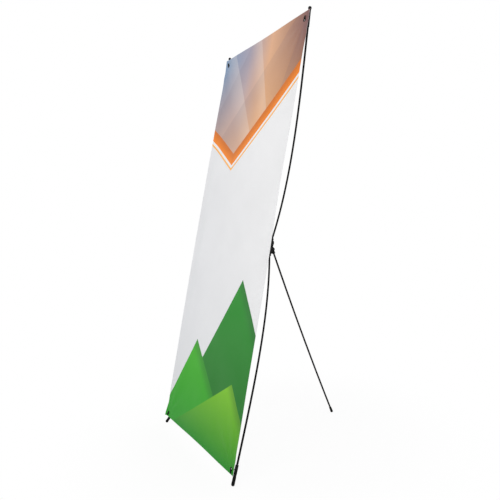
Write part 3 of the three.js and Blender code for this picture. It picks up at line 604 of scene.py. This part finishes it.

# The banner: one stretched sheet, in four quarters that meet without a seam
relief = {
    "leftCurl": 0.012,
    "rightCurl": 0.0015,
    "curlWidth": 0.085,
    "curlPower": 1.5,
    "waist": 0.0075,
    "waistPower": 0.75,
    "rightDraw": 0.009,
    "rightDrawAt": 0.61,
    "rightDrawReach": 0.18,
    "flaps": {"upper_right": 0.0015, "upper_left": 0.003, "lower_right": 0.0015, "lower_left": 0.008},
    "flapFrom": 0.385,
    "flapHeight": 0.075,
    "wrinkle": 0.0011,
    "wrinkleCount": 11,
    "wrinkleStart": 0.022,
    "wrinklePeak": 0.085,
    "wrinkleReach": 0.36,
    "endFade": 0.045,
    "sway": 0.003,
    "dish": 0.004,
    "dishEnds": (0.05, 0.95),
    "cell": 0.0085,
    "rigidReach": 0.03,
    "sharpAngle": 40,
}


def foldReach(sideways, level):
    # a quarter bends from its diagonal to the eyelet: from where, which way and how far
    diagonal = Vector((-sideways * banner["width"] / 2, level * banner["height"] / 2)).normalized()
    outward = Vector((sideways * abs(diagonal.y), level * abs(diagonal.x)))
    eyelet = Vector(eyeletPlace(sideways, level))
    top = Vector((0.0, banner["height"] if level > 0 else 0.0))
    reach = (eyelet - top).dot(outward)
    return eyelet - outward * reach, outward, reach - relief["rigidReach"]


def sheetRelief(x, z):
    # how far behind its plane the stretched sheet lies, for arrays of places
    halfWidth = banner["width"] / 2
    side = np.abs(x)
    rise = np.sin(np.pi * np.clip(z / banner["height"], 0, 1))
    power = relief["curlPower"]
    curl = np.where(x < 0, relief["leftCurl"], relief["rightCurl"])
    depth = -curl * smoothRise(halfWidth - relief["curlWidth"], halfWidth, side) ** power * rise**power
    fromEnd = np.minimum(z, banner["height"] - z)
    lifted = (side - relief["flapFrom"]) / (halfWidth - relief["flapFrom"])
    lifted = np.clip(lifted, 0, None) ** power * (1 - smoothRise(0, relief["flapHeight"], fromEnd))
    calm = smoothRise(0, relief["endFade"], fromEnd)
    for index, (label, (sideways, level)) in enumerate(corners.items()):
        here = (x * sideways > 0) & ((z - banner["height"] / 2) * level > 0)
        depth -= np.where(here, relief["flaps"][label] * lifted, 0)
        eyeletX, eyeletZ = eyeletPlace(sideways, level)
        away = np.hypot(x - eyeletX, z - eyeletZ)
        turn = np.arctan2(z - eyeletZ, x - eyeletX)
        share = smoothRise(relief["wrinkleStart"], relief["wrinklePeak"], away)
        share *= 1 - smoothRise(relief["wrinklePeak"], relief["wrinkleReach"], away)
        depth += relief["wrinkle"] * share * calm * np.cos(relief["wrinkleCount"] * turn + index)
        start, outward, reach = foldReach(sideways, level)
        along = ((x - start.x) * outward.x + (z - start.y) * outward.y) / reach
        depth -= np.where(here, relief["dish"] * smoothRise(*relief["dishEnds"], along), 0)
    depth += relief["sway"] * rise**2 * np.cos(np.pi * x / banner["width"]) ** 2
    return depth + relief["dish"]


def sheetWaist(x, z):
    # the sides are drawn in between the corners that pull on them, the right one more above the middle
    halfWidth = banner["width"] / 2
    share = np.clip(z / banner["height"], 0, 1)
    drawn = (4 * share * (1 - share)) ** relief["waistPower"]
    near = np.clip(1 - np.abs(share - relief["rightDrawAt"]) / relief["rightDrawReach"], 0, 1)
    right = relief["rightDraw"] * smoothRise(0, 1, near) * np.clip(x / halfWidth, 0, 1) ** 2
    return x * (1 - relief["waist"] / halfWidth * drawn) - right


def buildSheetQuarter(label, sideways, level):
    halfWidth, halfHeight = banner["width"] / 2, banner["height"] / 2
    columns = round(halfWidth / relief["cell"])
    rows = round(halfHeight / relief["cell"])
    mesh = bmesh.new()
    uvLayer = mesh.loops.layers.uv.new("panel")
    xs = np.linspace(0, sideways * halfWidth, columns + 1)
    zs = halfHeight + np.linspace(0, level * halfHeight, rows + 1)
    gridX, gridZ = np.meshgrid(xs, zs)
    depth = sheetRelief(gridX, gridZ)
    drawnX = sheetWaist(gridX, gridZ)
    verts = {}
    flat = {}
    for row in range(rows + 1):
        for column in range(columns + 1):
            made = mesh.verts.new(onBanner(drawnX[row, column], gridZ[row, column], depth[row, column]))
            verts[row, column] = made
            flat[made] = (gridX[row, column] / banner["width"] + 0.5, gridZ[row, column] / banner["height"])
    for row in range(rows):
        for column in range(columns):
            around = ((row, column), (row, column + 1), (row + 1, column + 1), (row + 1, column))
            ring = [verts[place] for place in around]
            if sideways * level < 0:
                ring.reverse()
            face = mesh.faces.new(ring)
            for loop in face.loops:
                loop[uvLayer].uv = flat[loop.vert]
    mesh.normal_update()
    data = bpy.data.meshes.new(f"{label}_sheet")
    mesh.to_mesh(data)
    mesh.free()
    sheet = newObject(f"{label}_sheet", data, materials["print"])
    data.materials.append(materials["sheetBack"])
    thicken = sheet.modifiers.new("thickness", "SOLIDIFY")
    thicken.thickness = banner["thickness"]
    thicken.offset = 0
    thicken.material_offset = 1
    thicken.material_offset_rim = 1
    punch = buildPunch(sideways, level)
    hole = sheet.modifiers.new("hole", "BOOLEAN")
    hole.object = punch
    hole.solver = "EXACT"
    hole.operation = "DIFFERENCE"
    applyModifiers(sheet)
    bpy.data.objects.remove(punch)
    smoothShade(sheet.data, relief["sharpAngle"])
    return sheet


def buildPunch(sideways, level):
    # a short rod through the eyelet's place, which is cut from the sheet
    rings = []
    for y in (-banner["punchReach"], banner["punchReach"]):
        centre = onBanner(*eyeletPlace(sideways, level), y)
        rings.append(circlePoints(centre, across, upward, banner["holeRadius"], banner["holeSides"]))
    return newObject("punch", ringMesh("punch", rings), None)


def blendSheet(sheet):
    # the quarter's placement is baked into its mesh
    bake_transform(sheet)


for label, (sideways, level) in corners.items():
    sheet = buildSheetQuarter(label, sideways, level)
    blendSheet(sheet)
    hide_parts("banner_sheet")
print("banner made")

# The poles
poleShape = {"radius": 0.0046, "sides": 20, "steps": 3, "endRound": 0.0005, "sharpAngle": 35}


def buildPole(node, start, body):
    line = curvePoints(ringCentres(node, start), poleShape["steps"])
    frames = squareFrames(line)

    def ring(place, axes, radius):
        return circlePoints(place, *axes, radius, poleShape["sides"])

    radius, soft = poleShape["radius"], poleShape["endRound"]
    rings = [ring(line[0], frames[0], radius - soft)]
    rings.append(ring(line[0].lerp(line[1], soft / (line[1] - line[0]).length), frames[0], radius))
    rings += [ring(place, axes, radius) for place, axes in zip(line[1:-1], frames[1:-1])]
    rings.append(ring(line[-1].lerp(line[-2], soft / (line[-1] - line[-2]).length), frames[-1], radius))
    rings.append(ring(line[-1], frames[-1], radius - soft))
    data = ringMesh(f"{node}_rod", rings)
    smoothShade(data, poleShape["sharpAngle"])
    rod = newObject(f"{node}_rod", data, materials["pole"])
    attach(rod, body)
    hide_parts(node)
    return line


poleLines = {}
pivots = {joint["child"]: Vector(joint["pos_m"]) for joint in frame["joints"]}
for label in corners:
    poleLines[label] = buildPole(f"{label}_pole", pivots[f"{label}_arm"], f"{label}_arm")
poleLines["rear_leg"] = buildPole("rear_leg_pole", pivots["rear_leg"], "rear_leg")
print("poles made:", len(poleLines))

# The hooks: a sleeve on each pole end, with a knob on the upper ones, and a bar that passes through the
# eyelet and turns out over it
hookShape = {
    "sides": 48,
    "capRadius": 0.00605,
    "collarRadius": 0.0071,
    "boreGap": 0.0001,
    "lip": 0.0005,
    "lipSteps": 4,
    "capLead": 0.021,
    "collarLead": 0.015,
    "collarTail": 0.012,
    "knobRadius": 0.008,
    "knobPastEdge": 0.0107,
    "neckRound": 0.005,
    "arcSteps": 10,
    "grooveDepth": 0.00035,
    "grooveWidth": 0.0012,
    "grooves": (0.005, 0.0085),
    "grooveSection": ((-0.5, 0), (-0.2, 1), (0.2, 1), (0.5, 0)),
    "sharpAngle": 40,
}
fingerShape = {
    "halfWidth": 0.0027,
    "halfDepth": 0.002,
    "cornerRound": 0.0012,
    "cornerSteps": 4,
    "clearance": 0.0046,
    "post": 0.00221,
    "rootDepth": 0.0052,
    "rootSpreads": (1.4, 1.12),
    "rootLength": 0.003,
    "bend": 0.0045,
    "length": 0.013,
    "nod": math.radians(4),
    "bendSteps": 9,
}


def armAxes(label, sideways, level):
    # the eyelet's centre, and the arm's own directions: sideways, behind the banner and outwards
    centre = onBanner(*eyeletPlace(sideways, level))
    out = centre - pivots[f"{label}_arm"]
    out -= behind * out.dot(behind)
    return centre, out.normalized().cross(behind), out.normalized()


def lipStations(place, inner, outer, way):
    # round the end of a sleeve, from its bore to its outside
    lip, stations = hookShape["lip"], []
    for step in range(hookShape["lipSteps"] + 1):
        turn = math.pi / 2 * step / hookShape["lipSteps"]
        stations.append((place + way * lip * (1 - math.cos(turn)), outer - lip * (1 - math.sin(turn))))
    return [(place + way * lip, inner), (place, inner + lip / 2), *stations]


def capStations(start, boreEnd, ball):
    inner = poleShape["radius"] + hookShape["boreGap"]
    outer, knob, neck = hookShape["capRadius"], hookShape["knobRadius"], hookShape["neckRound"]
    stations = [(boreEnd, inner), *lipStations(start, inner, outer, 1)]
    for groove in hookShape["grooves"]:
        for share, depth in hookShape["grooveSection"]:
            place = start + groove + share * hookShape["grooveWidth"]
            stations.append((place, outer - depth * hookShape["grooveDepth"]))
    drop = math.sqrt((knob + neck) ** 2 - (outer + neck) ** 2)
    lean = math.atan2(drop, outer + neck)
    for step in range(hookShape["arcSteps"] + 1):
        turn = math.pi - lean * step / hookShape["arcSteps"]
        stations.append((ball - drop + neck * math.sin(turn), outer + neck + neck * math.cos(turn)))
    for step in range(1, 2 * hookShape["arcSteps"]):
        turn = -lean + (math.pi / 2 + lean) * step / (2 * hookShape["arcSteps"])
        stations.append((ball + knob * math.sin(turn), knob * math.cos(turn)))
    return stations


def collarStations(start, end):
    inner, outer = poleShape["radius"] + hookShape["boreGap"], hookShape["collarRadius"]
    return lipStations(start, inner, outer, 1) + list(reversed(lipStations(end, inner, outer, -1)))


def buildSleeve(label, stations, at, axis, looped):
    axes = squareFrames([at, at + axis])[0]
    rings = [circlePoints(at + axis * place, *axes, radius, hookShape["sides"]) for place, radius in stations]
    data = ringMesh(f"{label}_hook_sleeve", rings, looped)
    smoothShade(data, hookShape["sharpAngle"])
    return newObject(f"{label}_hook_sleeve", data, materials["moulding"])


def barSection():
    # a rectangle with round corners, as pairs of shares of its half width and half depth
    wide, deep, soft = fingerShape["halfWidth"], fingerShape["halfDepth"], fingerShape["cornerRound"]
    section = []
    for quarter, (across0, deep0) in enumerate(((1, 1), (-1, 1), (-1, -1), (1, -1))):
        for step in range(fingerShape["cornerSteps"] + 1):
            turn = math.pi / 2 * (quarter + step / fingerShape["cornerSteps"])
            aside = across0 * (wide - soft) + soft * math.cos(turn)
            section.append((aside, deep0 * (deep - soft) + soft * math.sin(turn)))
    return section


def fingerPath(rootY):
    # places behind the banner and outwards from the eyelet's centre
    front, post, bend = -fingerShape["clearance"], fingerShape["post"], fingerShape["bend"]
    path = [(rootY - fingerShape["rootLength"] * share, post) for share in (0, 0.5, 1)]
    for step in range(fingerShape["bendSteps"] + 1):
        t = step / fingerShape["bendSteps"]
        path.append((front + bend * (1 - t) ** 2, post + bend * t**2))
    for share in (0.5, 1):
        reach = (fingerShape["length"] - bend) * share
        path.append((front + math.tan(fingerShape["nod"]) * reach, post + bend + reach))
    return path


def buildFinger(label, centre, aside, outward, rootY):
    path = [centre + behind * y + outward * z for y, z in fingerPath(rootY)]
    tangents = [(b - a).normalized() for a, b in zip(path, path[1:])]
    tangents = [tangents[0], *[(a + b).normalized() for a, b in zip(tangents, tangents[1:])], tangents[-1]]
    places = [(place, tangent, 1.0) for place, tangent in zip(path, tangents)]
    for index, spread in enumerate(fingerShape["rootSpreads"]):
        places[index] = (*places[index][:2], spread)
    for step in range(1, fingerShape["cornerSteps"] * 2):
        turn = math.pi / 2 * step / (fingerShape["cornerSteps"] * 2)
        tip = path[-1] + tangents[-1] * fingerShape["halfDepth"] * math.sin(turn)
        places.append((tip, tangents[-1], math.cos(turn)))
    rings = []
    for place, tangent, scale in places:
        deepWay = tangent.cross(aside)
        rings.append([place + (aside * a + deepWay * d) * scale for a, d in barSection()])
    data = ringMesh(f"{label}_hook_finger", rings)
    smoothShade(data, hookShape["sharpAngle"])
    return newObject(f"{label}_hook_finger", data, materials["moulding"])


for label, (sideways, level) in corners.items():
    line = poleLines[label]
    axis = (line[-1] - line[-2]).normalized()
    centre, aside, outward = armAxes(label, sideways, level)
    slant = axis.dot(outward)
    at = line[-1] + axis * ((centre - line[-1]).dot(outward) / slant)
    if level > 0:
        toEdge = eyeletInset[level][1] / outward.dot(upward)
        ball = (toEdge + hookShape["knobPastEdge"]) / slant
        boreEnd = (line[-1] - at).length + hookShape["boreGap"]
        stations = capStations(-hookShape["capLead"] / slant, boreEnd, ball)
        node = f"{label}_hook_cap"
    else:
        stations = collarStations(-hookShape["collarLead"] / slant, hookShape["collarTail"] / slant)
        node = f"{label}_hook_collar"
    sleeve = buildSleeve(label, stations, at, axis, looped=level < 0)
    onAxis = at + axis * (fingerShape["post"] / slant)
    rootY = (onAxis - centre).dot(behind) - fingerShape["rootDepth"]
    finger = buildFinger(label, centre, aside, outward, rootY)
    for piece in (sleeve, finger):
        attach(piece, f"{label}_arm")
        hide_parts(node)
print("hooks made")

# The rubber feet: a round mouth, a fluted grip, rings above a round end, and a flat where they stand
footShape = {
    "sides": 72,
    "steps": 44,
    "roundSteps": 4,
    "capSteps": 8,
    "capOpening": 0.6,
    "mouthRound": 0.0009,
    "boreGap": 0.0001,
    "fluteDepth": 0.001,
    "twist": math.radians(120),
    "gripFrom": (0.05, 0.14),
    "gripFade": 0.08,
    "ringPitch": 0.005,
    "ringDepth": 0.0005,
    "ringWidth": 0.0012,
    "flat": 0.001,
    "sharpAngle": 50,
}


def buildFoot(node, line, body, finish):
    # out of the bore's end, up its wall, over the mouth, down the grip and round the end
    axis = (line[-1] - line[-2]).normalized()
    mouth = line[-1] + axis * float(((nodePoints(node) - np.array(line[-1])) @ np.array(axis)).min())
    ground = cadBox[0].z
    sides, endRadius, lip = footShape["sides"], finish["endRadius"], footShape["mouthRound"]
    length = (mouth.z - (ground + endRadius - footShape["flat"])) / -axis.z
    bore = (line[-1] - mouth).length + footShape["boreGap"]
    boreRadius = poleShape["radius"] + footShape["boreGap"]
    stations = [(bore, boreRadius, 0.0), (lip, boreRadius, 0.0), (0.0, boreRadius + lip / 3, 0.0)]
    for step in range(footShape["roundSteps"] + 1):
        turn = math.pi / 2 * step / footShape["roundSteps"]
        stations.append((lip * (1 - math.cos(turn)), finish["mouthRadius"] - lip * (1 - math.sin(turn)), 0.0))
    for step in range(1, footShape["steps"]):
        share = step / footShape["steps"]
        place = lip + (length - lip) * share
        radius = finish["mouthRadius"] + (endRadius - finish["mouthRadius"]) * place / length
        upper = 1 - smoothRise(finish["gripTo"], finish["gripTo"] + footShape["gripFade"], share)
        grip = float(smoothRise(*footShape["gripFrom"], share) * upper)
        for ring in range(1, finish["rings"] + 1):
            away = abs(length - place - ring * footShape["ringPitch"])
            radius -= footShape["ringDepth"] * float(1 - smoothRise(0, footShape["ringWidth"], away))
        stations.append((place, radius, grip))
    for step in range(footShape["capSteps"] + 1):
        turn = math.pi / 2 * step / (footShape["capSteps"] + footShape["capOpening"])
        stations.append((length + endRadius * math.sin(turn), endRadius * math.cos(turn), 0.0))
    side, other = squareFrames([line[-2], line[-1]])[0]
    rings = []
    for place, radius, grip in stations:
        ring = []
        for index in range(sides):
            turn = 2 * math.pi * index / sides
            wave = 0.5 - 0.5 * math.cos(finish["flutes"] * (turn - footShape["twist"] * place / length))
            reach = radius - footShape["fluteDepth"] * grip * wave
            point = mouth + axis * place + (side * math.cos(turn) + other * math.sin(turn)) * reach
            point.z = max(point.z, ground)
            ring.append(point)
        rings.append(ring)
    data = ringMesh(f"{node}_grip", rings)
    smoothShade(data, footShape["sharpAngle"])
    piece = newObject(f"{node}_grip", data, materials["rubber"])
    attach(piece, body)
    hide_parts(node)


lowerFoot = {"mouthRadius": 0.0071, "endRadius": 0.00745, "flutes": 6, "gripTo": 0.66, "rings": 3}
rearFoot = {"mouthRadius": 0.0062, "endRadius": 0.0071, "flutes": 8, "gripTo": 0.6, "rings": 1}
for label in ("lower_right", "lower_left"):
    buildFoot(f"{label}_foot", poleLines[label], f"{label}_arm", lowerFoot)
buildFoot("rear_leg_foot", poleLines["rear_leg"], "rear_leg", rearFoot)
print("feet made")


# The CAD pieces that stay: their facets joined, their edges rounded, and a moulded or plated surface
dressing = {
    "joinWithin": 0.00001,
    "sharpAngle": 32,
    "flatAngle": 1,
    "bevelAngle": 40,
    "bevelSegments": 2,
}
edgeRounds = {"shell": 0.0004, "knuckle": 0.0003, "fastener": 0.0002}


def makeFacetGroup():
    group = bpy.data.node_groups.new("smoothByAngle", "GeometryNodeTree")
    group.interface.new_socket("Geometry", in_out="INPUT", socket_type="NodeSocketGeometry")
    group.interface.new_socket("Geometry", in_out="OUTPUT", socket_type="NodeSocketGeometry")
    source, result = group.nodes.new("NodeGroupInput"), group.nodes.new("NodeGroupOutput")
    joined = group.nodes.new("GeometryNodeMergeByDistance")
    joined.inputs["Distance"].default_value = dressing["joinWithin"]
    smooth = group.nodes.new("GeometryNodeSetShadeSmooth")
    sharp = group.nodes.new("GeometryNodeSetShadeSmooth")
    sharp.domain = "EDGE"
    sharp.inputs["Shade Smooth"].default_value = False
    angle = group.nodes.new("GeometryNodeInputMeshEdgeAngle")
    over = group.nodes.new("FunctionNodeCompare")
    over.inputs["B"].default_value = math.radians(dressing["sharpAngle"])
    group.links.new(source.outputs["Geometry"], joined.inputs["Geometry"])
    group.links.new(joined.outputs["Geometry"], smooth.inputs["Geometry"])
    group.links.new(smooth.outputs["Geometry"], sharp.inputs["Geometry"])
    group.links.new(angle.outputs["Unsigned Angle"], over.inputs["A"])
    group.links.new(over.outputs["Result"], sharp.inputs["Selection"])
    group.links.new(sharp.outputs["Geometry"], result.inputs["Geometry"])
    return group


facetGroup = makeFacetGroup()


def dressNode(node, material, edgeRound):
    piece = frame["nodes"][node]
    piece.data.materials.clear()
    piece.data.materials.append(material)
    joined = piece.modifiers.new("joined", "NODES")
    joined.node_group = facetGroup
    if edgeRound:
        flat = piece.modifiers.new("flats", "DECIMATE")
        flat.decimate_type = "DISSOLVE"
        flat.angle_limit = math.radians(dressing["flatAngle"])
        edges = piece.modifiers.new("edges", "BEVEL")
        edges.limit_method = "ANGLE"
        edges.angle_limit = math.radians(dressing["bevelAngle"])
        edges.width = edgeRound
        edges.segments = dressing["bevelSegments"]
        edges.harden_normals = True
        shaded = piece.modifiers.new("shaded", "NODES")
        shaded.node_group = facetGroup


dressed = 0
for node, piece in frame["nodes"].items():
    if node == "banner_sheet" or node.endswith(("_pole", "_foot", "_hook_cap", "_hook_collar")):
        continue
    if node.endswith(("_eyelet", "_washer")):
        dressNode(node, materials["eyelet"], 0)
    elif node.endswith(("_screw", "_bolt", "_nut")):
        dressNode(node, materials["steel"], edgeRounds["fastener"])
    else:
        kind = next(kind for kind in edgeRounds if kind in node)
        dressNode(node, materials["moulding"], edgeRounds[kind])
    dressed += 1
print("CAD pieces dressed:", dressed)

# Camera, floor and light
camera = {
    "place": (2.235949, -1.301015, 1.104739),
    "right": (0.48517424, 0.87348437, -0.04038909),
    "up": (-0.03771429, 0.06704926, 0.99703245),
    "back": (0.87361083, -0.48221372, 0.06547141),
    "lens": 36.8536,
    "sensor": 36,
    "reach": 100,
}


def placeCamera():
    data = bpy.data.cameras.new("camera")
    data.lens = camera["lens"]
    data.sensor_width = camera["sensor"]
    data.clip_end = camera["reach"]
    holder = bpy.data.objects.new("camera", data)
    bpy.context.scene.collection.objects.link(holder)
    turn = Matrix((camera["right"], camera["up"], camera["back"])).transposed()
    holder.matrix_world = Matrix.Translation(camera["place"]) @ turn.to_4x4()
    bpy.context.scene.camera = holder


floorLook = {
    "grey": (0.93, 0.93, 0.93, 1),
    "fade": (0.4, 1.2),
    "whiteNear": 0.92,
    "radius": 40,
    "segments": 96,
    "below": 0.0002,
}


def makeFloorMaterial():
    # pale, with the object's shadow near it, and plain white far away where only the camera looks
    material = bpy.data.materials.new("paleFloor")
    material.use_nodes = True
    tree = material.node_tree
    tree.nodes.clear()
    output = addNode(tree, "ShaderNodeOutputMaterial")
    diffuse = addNode(tree, "ShaderNodeBsdfDiffuse", {"Color": floorLook["grey"]})
    glow = addNode(tree, "ShaderNodeEmission", {"Color": (1, 1, 1, 1), "Strength": 1.0})
    place = addNode(tree, "ShaderNodeNewGeometry")
    away = addNode(tree, "ShaderNodeVectorMath", {}, {0: place.outputs["Position"]}, operation="LENGTH")
    near, far = floorLook["fade"]
    white = addNode(tree, "ShaderNodeMapRange", {
        "From Min": near, "From Max": far, "To Min": floorLook["whiteNear"]}, {
        "Value": away.outputs["Value"]}, interpolation_type="SMOOTHSTEP")
    path = addNode(tree, "ShaderNodeLightPath")
    share = addNode(tree, "ShaderNodeMath", {}, {
        0: white.outputs["Result"], 1: path.outputs["Is Camera Ray"]}, operation="MULTIPLY")
    both = addNode(tree, "ShaderNodeMixShader", {}, {
        0: share.outputs[0], 1: diffuse.outputs[0], 2: glow.outputs[0]})
    tree.links.new(both.outputs[0], output.inputs["Surface"])
    return material


def makeFloor():
    mesh = bmesh.new()
    bmesh.ops.create_circle(mesh, cap_ends=True, radius=floorLook["radius"], segments=floorLook["segments"])
    bmesh.ops.translate(mesh, verts=mesh.verts, vec=(0, 0, cadBox[0].z - floorLook["below"]))
    data = bpy.data.meshes.new("floor")
    mesh.to_mesh(data)
    mesh.free()
    newObject("floor", data, makeFloorMaterial())


worldStrength = 0.66
lamps = {
    "key": {"place": (1.2, -3.2, 3.0), "target": (0, 0, 1.0), "size": 2.6, "power": 38.0},
    "fill": {"place": (-2.4, -2.0, 1.7), "target": (0, 0, 0.8), "size": 3.2, "power": 13.0},
    "back": {"place": (-0.8, 3.4, 2.6), "target": (0, 0, 1.0), "size": 3.0, "power": 30.0},
}


def makeWorld():
    world = bpy.data.worlds.new("studio")
    bpy.context.scene.world = world
    world.use_nodes = True
    tree = world.node_tree
    tree.nodes.clear()
    output = addNode(tree, "ShaderNodeOutputWorld")
    path = addNode(tree, "ShaderNodeLightPath")
    seen = addNode(tree, "ShaderNodeMath", {}, {
        0: path.outputs["Is Camera Ray"], 1: path.outputs["Is Glossy Ray"]}, operation="MAXIMUM")
    through = addNode(tree, "ShaderNodeMath", {}, {
        0: seen.outputs[0], 1: path.outputs["Is Transmission Ray"]}, operation="MAXIMUM")
    strength = addNode(tree, "ShaderNodeMapRange", {"To Min": worldStrength}, {
        "Value": through.outputs[0]})
    background = addNode(tree, "ShaderNodeBackground", {"Color": (1, 1, 1, 1)}, {
        "Strength": strength.outputs["Result"]})
    tree.links.new(background.outputs[0], output.inputs["Surface"])


def makeLamp(name, place, target, size, power):
    data = bpy.data.lights.new(name, "AREA")
    data.shape = "DISK"
    data.size = size
    data.energy = power
    lamp = bpy.data.objects.new(name, data)
    bpy.context.scene.collection.objects.link(lamp)
    lamp.location = place
    lamp.rotation_euler = (Vector(target) - Vector(place)).to_track_quat("-Z", "Y").to_euler()


placeCamera()
makeFloor()
makeWorld()
for name, lamp in lamps.items():
    makeLamp(name, **lamp)
bpy.context.scene.view_settings.view_transform = "Standard"
print("camera, floor and light set")
